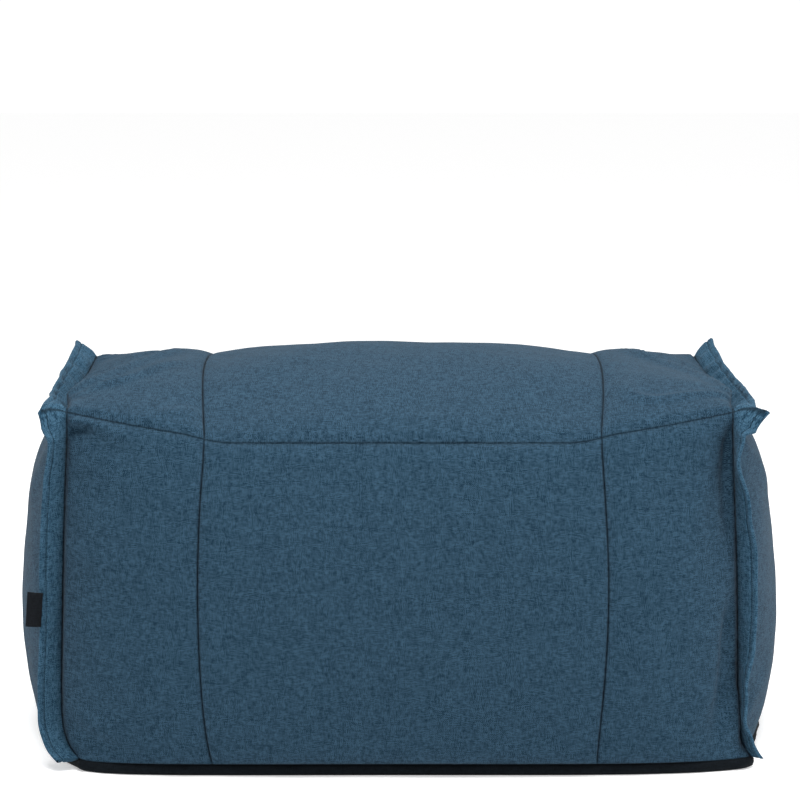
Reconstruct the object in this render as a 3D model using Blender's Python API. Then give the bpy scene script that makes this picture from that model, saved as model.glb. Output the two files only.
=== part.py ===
"""Bean bag footstool: a filled cloth body with a doubled-cloth flange round each end, a base panel and a tag.

Metres, +Z up. The origin is on the floor, under the middle of the body, and the front faces -Y.
The body's surface is made of curved faces that meet on the real seams: a front, a top, a back and two
ends. The front, top and back are each cut in three panels, so two sewn channels run over all three.
"""

import bmesh
import bpy
import numpy as np

# Seam lines of the body
SEAM_HALF_WIDTH_TOP = 0.329     # flange seam from the middle, at the top corners
SEAM_HALF_WIDTH_FOOT = 0.339    # the same at the base seam
SEAM_HALF_DEPTH = 0.205
CORNER_HEIGHT = 0.3575
BASE_SEAM_HEIGHT = 0.0115
CORNER_RADIUS = 0.008           # rounding of the flange seam as it turns from the front to the top
TOP_SEAM_HEIGHT = 0.3315        # top front seam at mid width, lower than the corners
TOP_SEAM_BOW = 0.030            # how far the top front seam runs forward of the corners
BASE_BOW_FRONT = 0.043
BASE_BOW_END = 0.0375
TOP_END_BOW = 0.012
TOP_END_SAG = 0.023             # drop of the flange seam between its two top corners

# Fill
CROWN = 0.0795
FRONT_BULGE = 0.030
END_BULGE = 0.0325
BELLY_HEIGHT = 0.42             # shares of the height
END_BELLY_HEIGHT = 0.65
PANEL_PUFF = 0.004              # how far each panel's middle stands proud of its own two seams
SEAM_ROLL = 0.002               # how far the cloth beside a seam stands proud of it

# How each flange seam is led aside at the base, and how soon that fades up the seam and along the edges
FOOT_SPREAD = {-1: -0.010, 1: 0.006}
FOOT_FORWARD = {-1: 0.008, 1: 0.006}
FOOT_FADE_UP = 20
FOOT_FADE_FRONT = 9
FOOT_FADE_END = 34
FOOT_SEAT = {-1: 0.6, 1: 0.4}   # how much wider the flange's seat is where its seam slants at the base
BACK_SPREAD = {-1: 0.010, 1: 0.0}       # how much farther out each flange seam is at its back corner

# Panel seams, as shares of the half width
LEFT_PANEL_SEAM = -0.584
RIGHT_PANEL_SEAM = 0.602
PANEL_SEAM_BOW = 0.007          # outward bow of the front's panel seams at half height
PANEL_SEAM_PINCH = 0.010        # how much closer together they are at the base seam
CHANNEL_HALF_WIDTH = 0.014      # share of the half width
CHANNEL_DEPTH = 0.0025

# Flange
FLANGE_THICKNESS = 0.004        # two layers with their turned-in edges
SEWN_GAP = 0.0003               # between pieces that are sewn together
FOOT_START = 0.0060             # where each flange starts up its seam, clear of the base panel
EAR_POINT_SHARE = {-1: (0.25, 0.0), 1: (0.95, 0.0)}      # share of the mitre kept by the front and back ear

# Base and tag
BASE_THICKNESS = 0.002
TAG_HEIGHT = 0.034
TAG_WIDTH = 0.014
TAG_THICKNESS = 0.0012
TAG_MIDDLE_HEIGHT = 0.163

# Each flange from its front foot (0), over the front ear (1) and the back ear (2), to its back foot (3).
# place, lean from the outward axis in degrees, width, curl at the edge in degrees, lift of the edge
LEFT_FLANGE = [
    (0.00, 28, 0.023, 0, 0.000),
    (0.05, 42, 0.025, 0, 0.000),
    (0.11, 34, 0.025, 0, 0.000),
    (0.20, 36, 0.025, -6, 0.000),
    (0.32, 44, 0.025, -6, 0.000),
    (0.45, 47, 0.025, -4, 0.000),
    (0.62, 42, 0.025, -8, 0.000),
    (0.80, 44, 0.025, -4, 0.000),
    (0.92, 56, 0.025, 4, 0.000),
    (1.00, 30, 0.0265, 0, -0.008),
    (1.13, 42, 0.0215, 4, 0.000),
    (1.38, 46, 0.025, 6, 0.000),
    (1.62, 49, 0.028, 6, 0.000),
    (1.80, 53, 0.0265, 0, 0.000),
    (1.93, 47, 0.027, -4, 0.000),
    (2.00, 45, 0.028, -8, 0.000),
    (2.10, 41, 0.027, -2, 0.000),
    (2.45, 44, 0.025, 5, 0.000),
    (2.75, 52, 0.025, -5, 0.000),
    (3.00, 50, 0.024, 0, 0.000),
]
RIGHT_FLANGE = [
    (0.00, 44, 0.018, 0, 0.000),
    (0.05, 56, 0.020, 4, 0.000),
    (0.11, 76, 0.025, 8, 0.000),
    (0.20, 78, 0.025, 4, 0.000),
    (0.33, 58, 0.025, 0, 0.000),
    (0.46, 49, 0.025, -4, 0.000),
    (0.60, 50, 0.025, 0, 0.000),
    (0.72, 60, 0.025, 4, 0.000),
    (0.86, 76, 0.025, 8, 0.000),
    (0.94, 64, 0.025, 6, 0.000),
    (1.00, 34, 0.0265, 0, -0.0125),
    (1.13, 28, 0.024, 6, 0.000),
    (1.38, 44, 0.028, 10, 0.000),
    (1.62, 40, 0.026, 10, 0.000),
    (1.80, 51, 0.0245, 0, 0.000),
    (1.93, 54, 0.025, -4, 0.000),
    (2.00, 54, 0.0275, -8, 0.000),
    (2.10, 46, 0.026, -2, 0.000),
    (2.40, 46, 0.025, -5, 0.000),
    (2.70, 56, 0.025, 4, 0.000),
    (3.00, 50, 0.024, 0, 0.000),
]

# Mesh fineness
WIDTH_CELLS = 20
RISE_CELLS = 13
DEPTH_CELLS = 18
CORNER_CELLS = 2                # on each half of a rounded corner of the flange seam
FOOT_STEPS = (0.2, 0.5)         # extra lines in the lowest cell, as shares of it
CORNER_STEP = 0.065             # an extra line beside each corner, as a share of the half depth
FLANGE_WIDTH_CELLS = 3


# --- Seam lines -------------------------------------------------------------------------------------

def mix(start, end, share):
    return start + (end - start) * share


def ease(share):
    share = np.clip(share, 0.0, 1.0)
    return share * share * (3 - 2 * share)


def rounded(distance, power, softness):
    """1 in the middle, 0 at the edge (distance 1), and steep there."""
    return np.clip(1 - np.abs(distance) ** power, 0, 1) ** softness


def corner_lift(across):
    """Rise of the top front seam from its middle (0) to the corners (1)."""
    out = np.clip((np.abs(across) - 0.48) / 0.52, 0, 1)
    return out * ease(3.0 * out)


def half_width(height_share):
    return mix(SEAM_HALF_WIDTH_FOOT, SEAM_HALF_WIDTH_TOP, ease(height_share * 0.5) * 2)


STRAIGHT_RISE = CORNER_HEIGHT - CORNER_RADIUS - BASE_SEAM_HEIGHT
HALF_ARC = CORNER_RADIUS * np.pi / 4
STRAIGHT_DEPTH = SEAM_HALF_DEPTH - CORNER_RADIUS


def flange_seam(side, place):
    """Point on a flange seam and the upright outward direction there, for one place from 0 to 3.

    0 is the front foot, 1 and 2 are the middles of the two rounded corners, and 3 is the back foot.
    """
    near = min(place, 3 - place)
    if near <= 1:
        run = near * (STRAIGHT_RISE + HALF_ARC)
        turn = max(0.0, run - STRAIGHT_RISE) / CORNER_RADIUS
        height = BASE_SEAM_HEIGHT + min(run, STRAIGHT_RISE)
        along = -STRAIGHT_DEPTH
    else:
        run = (near - 1) * 2 * (STRAIGHT_DEPTH + HALF_ARC)
        turn = np.pi / 4 + min(run, HALF_ARC) / CORNER_RADIUS
        height = BASE_SEAM_HEIGHT + STRAIGHT_RISE
        along = -STRAIGHT_DEPTH + max(0.0, run - HALF_ARC)
    back = -1.0 if place > 1.5 else 1.0
    outward = np.array([0.0, -np.cos(turn) * back, np.sin(turn)])
    point = np.array([0.0, along * back, height]) + CORNER_RADIUS * outward
    middle = 1 - min(1.0, abs(along) / STRAIGHT_DEPTH) ** 2
    rise_share = (height - BASE_SEAM_HEIGHT) / STRAIGHT_RISE
    back_share = (point[1] + SEAM_HALF_DEPTH) / (2 * SEAM_HALF_DEPTH)
    spread = TOP_END_BOW * middle + BACK_SPREAD[side] * back_share * rise_share
    point[0] = side * (half_width(rise_share) + spread)
    point[2] -= TOP_END_SAG * middle
    return point, outward


def near_foot(places):
    """1 at the foot of a flange seam and gone a little way up it."""
    rise_share = np.minimum(places, 3 - places) * (STRAIGHT_RISE + HALF_ARC) / STRAIGHT_RISE
    return (1 - np.clip(rise_share, 0, 1)) ** FOOT_FADE_UP


def foot_shift(side, places):
    """How far a flange seam is led aside near its foot, for each place."""
    foot = near_foot(places)
    back = np.where(places > 1.5, -1.0, 1.0)
    return np.stack([side * FOOT_SPREAD[side] * foot, -back * FOOT_FORWARD[side] * foot, 0 * foot], -1)


def shifted_feet(face, across, fade, start, end):
    """The face or edge with the shifts of the two flange seams it ends on, fading away from them."""
    from_start = ((1 - across) / 2)[:, None, None] ** fade
    from_end = ((1 + across) / 2)[:, None, None] ** fade
    return face + from_start * start + from_end * end


def flange_frame(side, place):
    """Seam point, flange direction and the normal towards the front, top or back face."""
    point, outward = flange_seam(side, place)
    lean = np.radians(flange_value(side, place, 1))
    sideways = np.array([side, 0.0, 0.0])
    direction = np.cos(lean) * sideways + np.sin(lean) * outward
    normal = np.cos(lean) * outward - np.sin(lean) * sideways
    return point, direction, normal


def flange_value(side, place, column):
    rows = np.array(LEFT_FLANGE if side < 0 else RIGHT_FLANGE)
    spot = np.searchsorted(rows[:, 0], place, side="right") - 1
    spot = min(max(spot, 0), len(rows) - 2)
    share = (place - rows[spot, 0]) / (rows[spot + 1, 0] - rows[spot, 0])
    return mix(rows[spot, column], rows[spot + 1, column], ease(share))


def seat_edge(side, place, towards_face):
    """Edge of the narrow strip of body that the flange is sewn to: on the face's side or the end's side."""
    point, _, normal = flange_frame(side, place)
    half = (FLANGE_THICKNESS / 2 + SEWN_GAP) * (1 + FOOT_SEAT[side] * near_foot(place))
    return point + normal * half * (1 if towards_face else -1)


def seat_line(side, places, towards_face=True):
    return np.array([seat_edge(side, place, towards_face) for place in places])


def towards_panel_seams(across):
    """-1 and 1 on the left and right panel seams, fading to 0 at the middle and the flanges."""
    return np.interp(across, [-1, LEFT_PANEL_SEAM, 0, RIGHT_PANEL_SEAM, 1], [0, -1, 0, 1, 0])


def join_ends(curve, across, start, end):
    """The curve shifted so that it starts and ends on the given points."""
    share = ((across + 1) / 2)[:, None]
    return curve + mix(start - curve[0], end - curve[-1], share)


def top_seam(front_or_back, across):
    height = mix(TOP_SEAM_HEIGHT, CORNER_HEIGHT, corner_lift(across))
    depth = SEAM_HALF_DEPTH + TOP_SEAM_BOW * (1 - np.abs(across) ** 5)
    spread = BACK_SPREAD[1] * ((1 + across) / 2) ** 6 - BACK_SPREAD[-1] * ((1 - across) / 2) ** 6
    width = SEAM_HALF_WIDTH_TOP * across + (spread if front_or_back > 0 else 0)
    curve = np.stack([width, front_or_back * depth, height], -1)
    place = 1 if front_or_back < 0 else 2
    return join_ends(curve, across, seat_edge(-1, place, True), seat_edge(1, place, True))


def base_seam(front_or_back, across):
    depth = SEAM_HALF_DEPTH + BASE_BOW_FRONT * rounded(across, 5, 0.7)
    height = np.full_like(across, BASE_SEAM_HEIGHT)
    width = SEAM_HALF_WIDTH_FOOT * across - PANEL_SEAM_PINCH * towards_panel_seams(across)
    curve = np.stack([width, front_or_back * depth, height], -1)
    place = 0 if front_or_back < 0 else 3
    return join_ends(curve, across, seat_edge(-1, place, True), seat_edge(1, place, True))


def end_base_seam(side, along):
    width = SEAM_HALF_WIDTH_FOOT + BASE_BOW_END * (1 - along**2)
    height = np.full_like(along, BASE_SEAM_HEIGHT)
    curve = np.stack([side * width, SEAM_HALF_DEPTH * along, height], -1)
    return join_ends(curve, along, seat_edge(side, 0, False), seat_edge(side, 3, False))


# --- Faces ------------------------------------------------------------------------------------------

def stretched_between(low, high, left, right, u, v):
    """Surface that passes through four edge curves (a Coons patch); u runs along low, v along left."""
    u = u[:, None, None]
    v = v[None, :, None]
    corners = (1 - u) * ((1 - v) * low[0] + v * high[0]) + u * ((1 - v) * low[-1] + v * high[-1])
    rows = (1 - v) * low[:, None] + v * high[:, None]
    columns = (1 - u) * left[None] + u * right[None]
    return rows + columns - corners


def front_belly(rise):
    below = 1 - (1 - np.clip(rise / BELLY_HEIGHT, 0, 1)) ** 2
    above = np.clip((rise - BELLY_HEIGHT) / (1 - BELLY_HEIGHT), 0, 1)
    return np.where(rise < BELLY_HEIGHT, below**0.62, 1 - above**2.4)


def end_belly(rise):
    below = np.sin(np.pi / 2 * np.clip(rise / END_BELLY_HEIGHT, 0, 1) ** 0.7)
    above = np.clip((rise - END_BELLY_HEIGHT) / (1 - END_BELLY_HEIGHT), 0, 1)
    return np.where(rise < END_BELLY_HEIGHT, below, rounded(above, 3, 0.8))


def beside_seam(from_start, from_end):
    """0 on a face's two seams and 1 a little way in from them."""
    return ease(np.minimum(from_start, from_end) / 0.03)


def panel_puff(across):
    """1 in the middle of each of the three panels, 0 on the seams between them."""
    middle = rounded(2 * (across - LEFT_PANEL_SEAM) / (RIGHT_PANEL_SEAM - LEFT_PANEL_SEAM) - 1, 6, 1)
    left = rounded(2 * (across + 1) / (LEFT_PANEL_SEAM + 1) - 1, 4, 1)
    right = rounded(2 * (across - RIGHT_PANEL_SEAM) / (1 - RIGHT_PANEL_SEAM) - 1, 4, 1)
    return middle + 0.5 * (left + right)


def channel(across):
    """1 on the two panel seams, 0 beyond their channels."""
    near = [1 - np.abs(across - seam) / CHANNEL_HALF_WIDTH for seam in (LEFT_PANEL_SEAM, RIGHT_PANEL_SEAM)]
    return ease(np.maximum(*near))


def front_face(front_or_back, across, rise):
    places = rise if front_or_back < 0 else 3 - rise
    face = stretched_between(
        base_seam(front_or_back, across),
        top_seam(front_or_back, across),
        seat_line(-1, places),
        seat_line(1, places),
        (across + 1) / 2,
        rise,
    )
    face = shifted_feet(face, across, FOOT_FADE_FRONT, foot_shift(-1, places), foot_shift(1, places))
    u = across[:, None]
    v = rise[None]
    inside = np.clip(20 * v * (1 - v), 0, 1)
    push = rounded(u, 7, 0.7) * (FRONT_BULGE * front_belly(v) + SEAM_ROLL * beside_seam(v, 1 - v))
    push += inside * (0.5 * PANEL_PUFF * panel_puff(u) - CHANNEL_DEPTH * channel(u))
    face[..., 1] += front_or_back * push
    face[..., 0] += PANEL_SEAM_BOW * np.sin(np.pi * v) * towards_panel_seams(u)
    return face


def top_face(across, along):
    places = 1 + (along + 1) / 2
    face = stretched_between(
        top_seam(-1, across),
        top_seam(1, across),
        seat_line(-1, places),
        seat_line(1, places),
        (across + 1) / 2,
        (along + 1) / 2,
    )
    u = across[:, None]
    v = along[None]
    inside = np.clip(10 * (1 - np.abs(v)), 0, 1)
    # The cloth is pulled tight from the crown to the four corners and is slack between them at the ends.
    tightness = np.interp(v, [-1, -0.6, 0, 0.6, 1], [0.38, 0.38, 0.75, 0.62, 0.62])
    push = rounded(u, 3, tightness) * (CROWN * rounded(v, 2, 1) + SEAM_ROLL * beside_seam(1 + v, 1 - v))
    face[..., 2] += push + inside * (PANEL_PUFF * panel_puff(u) - CHANNEL_DEPTH * channel(u))
    face[..., 0] += 0.004 * (1 - v**2) * towards_panel_seams(u)
    return face


def end_face(side, along, rise):
    face = stretched_between(
        end_base_seam(side, along),
        seat_line(side, 1 + (along + 1) / 2, False),
        seat_line(side, rise, False),
        seat_line(side, 3 - rise, False),
        (along + 1) / 2,
        rise,
    )
    face = shifted_feet(face, along, FOOT_FADE_END, foot_shift(side, rise), foot_shift(side, 3 - rise))
    face[..., 0] += side * END_BULGE * rounded(along[:, None], 2.6, 0.7) * end_belly(rise[None])
    return face


# --- Meshes -----------------------------------------------------------------------------------------

def new_object(name, bm, color, roughness):
    bmesh.ops.remove_doubles(bm, verts=bm.verts, dist=1e-6)
    bmesh.ops.recalc_face_normals(bm, faces=bm.faces)
    mesh = bpy.data.meshes.new(name)
    bm.to_mesh(mesh)
    bm.free()
    mesh.shade_smooth()
    mesh.set_sharp_from_angle(angle=np.radians(50))
    mesh.materials.append(cloth_material(name, color, roughness))
    obj = bpy.data.objects.new(name, mesh)
    bpy.context.scene.collection.objects.link(obj)
    return obj


def cloth_material(name, color, roughness):
    material = bpy.data.materials.new(name)
    material.use_nodes = True
    shader = material.node_tree.nodes["Principled BSDF"]
    shader.inputs["Base Color"].default_value = (*color, 1)
    shader.inputs["Roughness"].default_value = roughness
    shader.inputs["Metallic"].default_value = 0.0
    return material


def thicken(obj, thickness, offset):
    solid = obj.modifiers.new("Thickness", "SOLIDIFY")
    solid.thickness = thickness
    solid.offset = offset
    solid.use_even_offset = True
    solid.use_rim = True


def add_grid(bm, points):
    """Faces over a grid of points, and the grid of their vertices."""
    verts = [[bm.verts.new(point) for point in row] for row in points]
    for row, next_row in zip(verts, verts[1:]):
        for a, b, c, d in zip(row, next_row, next_row[1:], row[1:]):
            bm.faces.new((a, b, c, d))
    return verts


def width_lines():
    """Grid lines across the width: even, with extra ones at the panel seams and the flanges."""
    seams = [LEFT_PANEL_SEAM, RIGHT_PANEL_SEAM]
    even = np.linspace(-1, 1, WIDTH_CELLS + 1)
    clear = 2 * CHANNEL_HALF_WIDTH
    lines = [x for x in even if min(abs(x - seam) for seam in seams) > clear]
    for seam in seams:
        lines += [seam + CHANNEL_HALF_WIDTH * step for step in (-1, -0.5, 0, 0.5, 1)]
    lines += [-0.975, 0.975]
    return np.array(sorted(lines))


def rise_lines():
    """Grid lines up the front, as places on the flange seam from 0 to 1, closer at its two ends."""
    corner = HALF_ARC / (STRAIGHT_RISE + HALF_ARC)
    straight = np.linspace(0, 1 - corner, RISE_CELLS + 1)
    near_foot = straight[1] * np.array(FOOT_STEPS)
    round_corner = 1 - corner * (1 - np.arange(1, CORNER_CELLS + 1) / CORNER_CELLS)
    return np.concatenate([straight[:1], near_foot, straight[1:], round_corner])


def depth_lines():
    """Grid lines from the front (-1) to the back (1) of the top, closer round the corners."""
    corner = HALF_ARC / (STRAIGHT_DEPTH + HALF_ARC)
    straight = np.linspace(corner - 1, 1 - corner, DEPTH_CELLS + 1)
    near_edge = corner * np.arange(CORNER_CELLS) / CORNER_CELLS
    beside_corners = [CORNER_STEP - 1, 1 - CORNER_STEP]
    return np.sort(np.concatenate([near_edge - 1, straight, 1 - near_edge[::-1], beside_corners]))


def flange_places():
    rise = rise_lines()
    return np.concatenate([rise, 1 + (depth_lines()[1:-1] + 1) / 2, 3 - rise[::-1]])


def build_body():
    across = width_lines()
    rise = rise_lines()
    along = depth_lines()
    bm = bmesh.new()
    add_grid(bm, front_face(-1, across, rise))
    add_grid(bm, top_face(across, along))
    add_grid(bm, front_face(1, across, rise))
    for side in (-1, 1):
        add_grid(bm, end_face(side, along, rise))
        places = flange_places()
        shift = foot_shift(side, places)
        add_grid(bm, [seat_line(side, places, on_face) + shift for on_face in (True, False)])
    # The underside steps in and down, to sit inside the turned-up rim of the base panel.
    steps = [(0.0, BASE_SEAM_HEIGHT), (0.0029, BASE_SEAM_HEIGHT), (0.0051, 0.0048)]
    steps += [(0.0095, BASE_THICKNESS + SEWN_GAP)]
    add_underside(bm, steps)
    return new_object("filled_body", bm, (0.055, 0.105, 0.150), 0.9)


def base_outline():
    """The base seam all the way round, as x and y."""
    across, along = width_lines(), depth_lines()
    sides = []
    for curve, share, fade, start, end in (
        (base_seam(-1, across), across, FOOT_FADE_FRONT, (-1, 0), (1, 0)),
        (end_base_seam(1, along), along, FOOT_FADE_END, (1, 0), (1, 3)),
        (base_seam(1, across), across, FOOT_FADE_FRONT, (-1, 3), (1, 3)),
        (end_base_seam(-1, along), along, FOOT_FADE_END, (-1, 0), (-1, 3)),
    ):
        edge = shifted_feet(curve[:, None], share, fade, foot_shift(*start), foot_shift(*end))
        sides.append(edge[:, 0, :2])
    front, right, back, left = sides
    return np.concatenate([front, right, back[::-1], left[::-1]])


def add_underside(bm, steps):
    """Rings along the base seam, each drawn in by an inset at a height, and a flat face in the last."""
    outline = base_outline()
    half_size = np.array([SEAM_HALF_WIDTH_FOOT + BASE_BOW_END, SEAM_HALF_DEPTH + BASE_BOW_FRONT])
    rings = []
    for inset, height in steps:
        drawn_in = outline * (1 - inset / half_size)
        rings.append(np.column_stack([drawn_in, np.full(len(outline), height)]))
    loops = add_grid(bm, [np.vstack([ring, ring[:1]]) for ring in rings])
    bm.faces.new(loops[-1][:-1])


def flange_row(side, place):
    point, outward = flange_seam(side, place)
    point = point + foot_shift(side, place)
    lean, width, curl, lift = [flange_value(side, place, column) for column in (1, 2, 3, 4)]
    # The outer edge is a straight-sided frame, so it is longer where the seam turns its corner.
    from_axis = max(abs(outward[1]), abs(outward[2]))
    pointed = EAR_POINT_SHARE[side][0 if place < 1.5 else 1]
    width = mix(width, (CORNER_RADIUS + width) / from_axis - CORNER_RADIUS, pointed)
    row = []
    for share in np.linspace(0, 1, FLANGE_WIDTH_CELLS + 1):
        angle = np.radians(lean + curl * share)
        direction = np.array([side * np.cos(angle), 0, 0]) + np.sin(angle) * outward
        step = point + direction * mix(SEWN_GAP, width, share)
        step[2] += lift * share**2
        row.append(step)
    return row


def build_flange(name, side):
    bm = bmesh.new()
    places = np.clip(flange_places(), FOOT_START, 3 - FOOT_START)
    add_grid(bm, [flange_row(side, place) for place in places])
    obj = new_object(name, bm, (0.048, 0.092, 0.132), 0.9)
    thicken(obj, FLANGE_THICKNESS, 0.0)
    return obj


def build_base():
    steps = [(0.0, BASE_SEAM_HEIGHT - SEWN_GAP), (-0.0015, 0.0060), (-0.0002, 0.0014), (0.0030, 0.0)]
    bm = bmesh.new()
    add_underside(bm, steps)
    obj = new_object("base_panel", bm, (0.008, 0.010, 0.012), 0.8)
    thicken(obj, BASE_THICKNESS, -1.0)
    return obj


def build_tag():
    """A folded tape caught in the edge of the left flange, standing out to the side."""
    middle = (TAG_MIDDLE_HEIGHT - BASE_SEAM_HEIGHT) / (STRAIGHT_RISE + HALF_ARC)
    edge = np.array(flange_row(-1, middle))[-1]
    outward = np.array([-0.98, -0.10, 0.0])
    bm = bmesh.new()
    rows = []
    for up in np.linspace(-0.5, 0.5, 5):
        start = edge + outward * (FLANGE_THICKNESS / 2 + SEWN_GAP) + np.array([0, 0, up * TAG_HEIGHT])
        rows.append([start + outward * TAG_WIDTH * out for out in np.linspace(0, 1, 4)])
    add_grid(bm, rows)
    obj = new_object("side_tag", bm, (0.012, 0.014, 0.017), 0.6)
    thicken(obj, TAG_THICKNESS, 0.0)
    return obj


def main():
    for obj in list(bpy.data.objects):
        bpy.data.objects.remove(obj)
    build_body()
    build_flange("flange_left", -1)
    build_flange("flange_right", 1)
    build_base()
    build_tag()


main()
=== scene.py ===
"""Bean bag footstool: the visual model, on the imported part's frame.

Metres, +Z up, the front faces -Y. The filled body is one closed cloth form made of five curved faces. It
keeps the CAD's seam lines, and adds what the CAD leaves out: narrow sewn seams, soft creases, gathers along
the flange seams, and the weave.
"""

import math

import bmesh
import bpy
import numpy as np
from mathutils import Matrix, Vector


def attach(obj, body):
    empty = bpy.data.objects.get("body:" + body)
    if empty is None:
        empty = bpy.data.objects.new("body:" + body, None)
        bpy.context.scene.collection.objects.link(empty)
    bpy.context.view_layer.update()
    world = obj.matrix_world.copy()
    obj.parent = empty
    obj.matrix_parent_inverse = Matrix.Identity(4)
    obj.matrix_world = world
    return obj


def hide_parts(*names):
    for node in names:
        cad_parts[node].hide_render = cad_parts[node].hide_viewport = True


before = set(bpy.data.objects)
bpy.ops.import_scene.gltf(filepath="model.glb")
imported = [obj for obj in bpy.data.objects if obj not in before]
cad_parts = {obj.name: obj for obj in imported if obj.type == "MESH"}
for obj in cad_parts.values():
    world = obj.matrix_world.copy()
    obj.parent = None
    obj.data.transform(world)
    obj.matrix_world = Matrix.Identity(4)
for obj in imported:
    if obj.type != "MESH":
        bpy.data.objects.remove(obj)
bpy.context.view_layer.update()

# --- Sizes ------------------------------------------------------------------------------------------

# Seam lines of the body, as in the CAD
SEAM_HALF_WIDTH_TOP = 0.329
SEAM_HALF_WIDTH_FOOT = 0.339
SEAM_HALF_DEPTH = 0.205
CORNER_HEIGHT = 0.3575
BASE_SEAM_HEIGHT = 0.0115
CORNER_RADIUS = 0.008
TOP_SEAM_HEIGHT = 0.3315
TOP_SEAM_BOW = 0.030
BASE_BOW_FRONT = 0.043
BASE_BOW_END = 0.0375
TOP_END_BOW = 0.012
TOP_END_SAG = 0.023

# How far each flange seam (left -1, right 1) is led out (in if negative) and forward at the base, and how
# soon that shift fades up the seam, along the front and along an end
FOOT_FLARE = {-1: -0.020, 1: 0.012}
FOOT_FORWARD = {-1: 0.022, 1: 0.012}
FOOT_TURN = 28
SHIFT_FADE_FRONT = 9
SHIFT_FADE_END = 34
BACK_SPREAD = {-1: 0.010, 1: 0.0}       # how much farther out each flange seam is at its back corner

# Fill
CROWN = 0.0795
FRONT_BULGE = 0.030
END_BULGE = 0.0325
BELLY_HEIGHT = 0.42             # shares of the height
END_BELLY_HEIGHT = 0.65
PANEL_PUFF = 0.004              # how far each panel's middle stands proud of its own two seams
TOP_TIGHTNESS = ([-1, -0.6, 0, 0.6, 1], [0.38, 0.38, 0.75, 0.62, 0.62])     # from the front to the back
TOP_SEAM_LEAN = 0.004           # outward bow of the top's panel seams at its middle
FOLD_DROP_REACH = 0.080         # how far behind a fold the cloth stays low
GATHER_HEIGHT = 0.0013          # small puckers beside a seam: height, pitch and how far they reach
GATHER_PITCH = 0.021
GATHER_REACH = 0.013
LUMP_HEIGHT = 0.0009            # the filling's unevenness under the cloth
EDGE_FADE = 0.006               # every relief ends this far from a face's edges

# Seams between panels, as shares of the half width
LEFT_PANEL_SEAM = -0.584
RIGHT_PANEL_SEAM = 0.602
PANEL_SEAM_BOW = 0.007
PANEL_SEAM_PINCH = 0.010
SEAM_LINE_HALF = 0.0007         # the narrow sewn line
SEAM_LINE_DEPTH = 0.0016
SEAM_ROLL_REACH = 0.0055        # the soft roll of cloth beside it
SEAM_ROLL = 0.0026

# Flange
FLANGE_SEAT = 0.0020            # half width of the strip of body between the faces that the flange covers
FLANGE_ROOT_HALF = 0.0013       # half thickness where it is sewn down
FLANGE_HALF = 0.0024            # half thickness towards its turned edge
FLANGE_PLEAT = 0.0022           # height of the slack pleats over the top, and their pitch
PLEAT_PITCH = {-1: 0.046, 1: 0.036}
EDGE_SEAM_SHARE = 0.80          # the line of stitches near the flange's edge
EDGE_SEAM_DEPTH = 0.0012
EDGE_SEAM_SHADE_COLUMN = 10           # that line's column in a flange's mesh, painted dark as the shade in its groove
EAR_SHADE_COLUMNS = 16           # how many columns out along an ear the painted shade of the top seam's groove runs on over
# half width of that painted shade along the ear
EAR_SHADE_HALF = 0.0008
EAR_POINT_SHARE = {-1: (0.25, 0.0), 1: (0.95, 0.0)}     # share of the mitre kept by the front and back ear

# Base cloth: rings of inset from the base seam, height, and how much of the cloth's waves each one takes
BASE_CLOTH = 0.0016
BASE_OUTER_RINGS = [
    (0.0, 0.0112, 0.0),
    (-0.0013, 0.0085, 0.6),
    (-0.0015, 0.0055, 1.0),
    (-0.0003, 0.0016, 0.5),
    (0.0016, 0.0, 0.0),
    (0.0200, 0.0, 0.0),
]
BASE_INNER_RINGS = [
    (0.0200, BASE_CLOTH, 0.0),
    (0.0042, BASE_CLOTH, 0.0),
    (0.0015, 0.0030, 0.5),
    (0.0003, 0.0060, 1.0),
    (0.0010, 0.0090, 0.6),
    (0.0016, 0.0112, 0.0),
]
UNDERSIDE_RINGS = [             # the body's own underside: inset and height
    (0.0, BASE_SEAM_HEIGHT),
    (0.0026, BASE_SEAM_HEIGHT),
    (0.0045, 0.0046),
    (0.0085, 0.0024),
]

# place (front foot 0, front ear 1, back ear 2, back foot 3), lean from the outward axis in degrees,
# width, curl at the edge in degrees, lift of the edge
LEFT_FLANGE = [
    (0.00, 28, 0.023, 0, 0.000),
    (0.05, 42, 0.025, 0, 0.000),
    (0.11, 34, 0.025, 0, 0.000),
    (0.20, 36, 0.025, -6, 0.000),
    (0.32, 44, 0.025, -6, 0.000),
    (0.45, 47, 0.025, -4, 0.000),
    (0.62, 42, 0.025, -8, 0.000),
    (0.80, 44, 0.025, -4, 0.000),
    (0.92, 56, 0.025, 4, 0.000),
    (1.00, 30, 0.0265, 0, -0.008),
    (1.13, 42, 0.0215, 4, 0.000),
    (1.38, 46, 0.025, 6, 0.000),
    (1.62, 49, 0.028, 6, 0.000),
    (1.80, 53, 0.0265, 0, 0.000),
    (1.93, 47, 0.027, -4, 0.000),
    (2.00, 45, 0.028, -8, 0.000),
    (2.10, 41, 0.027, -2, 0.000),
    (2.45, 44, 0.025, 5, 0.000),
    (2.75, 52, 0.025, -5, 0.000),
    (3.00, 50, 0.024, 0, 0.000),
]
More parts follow.
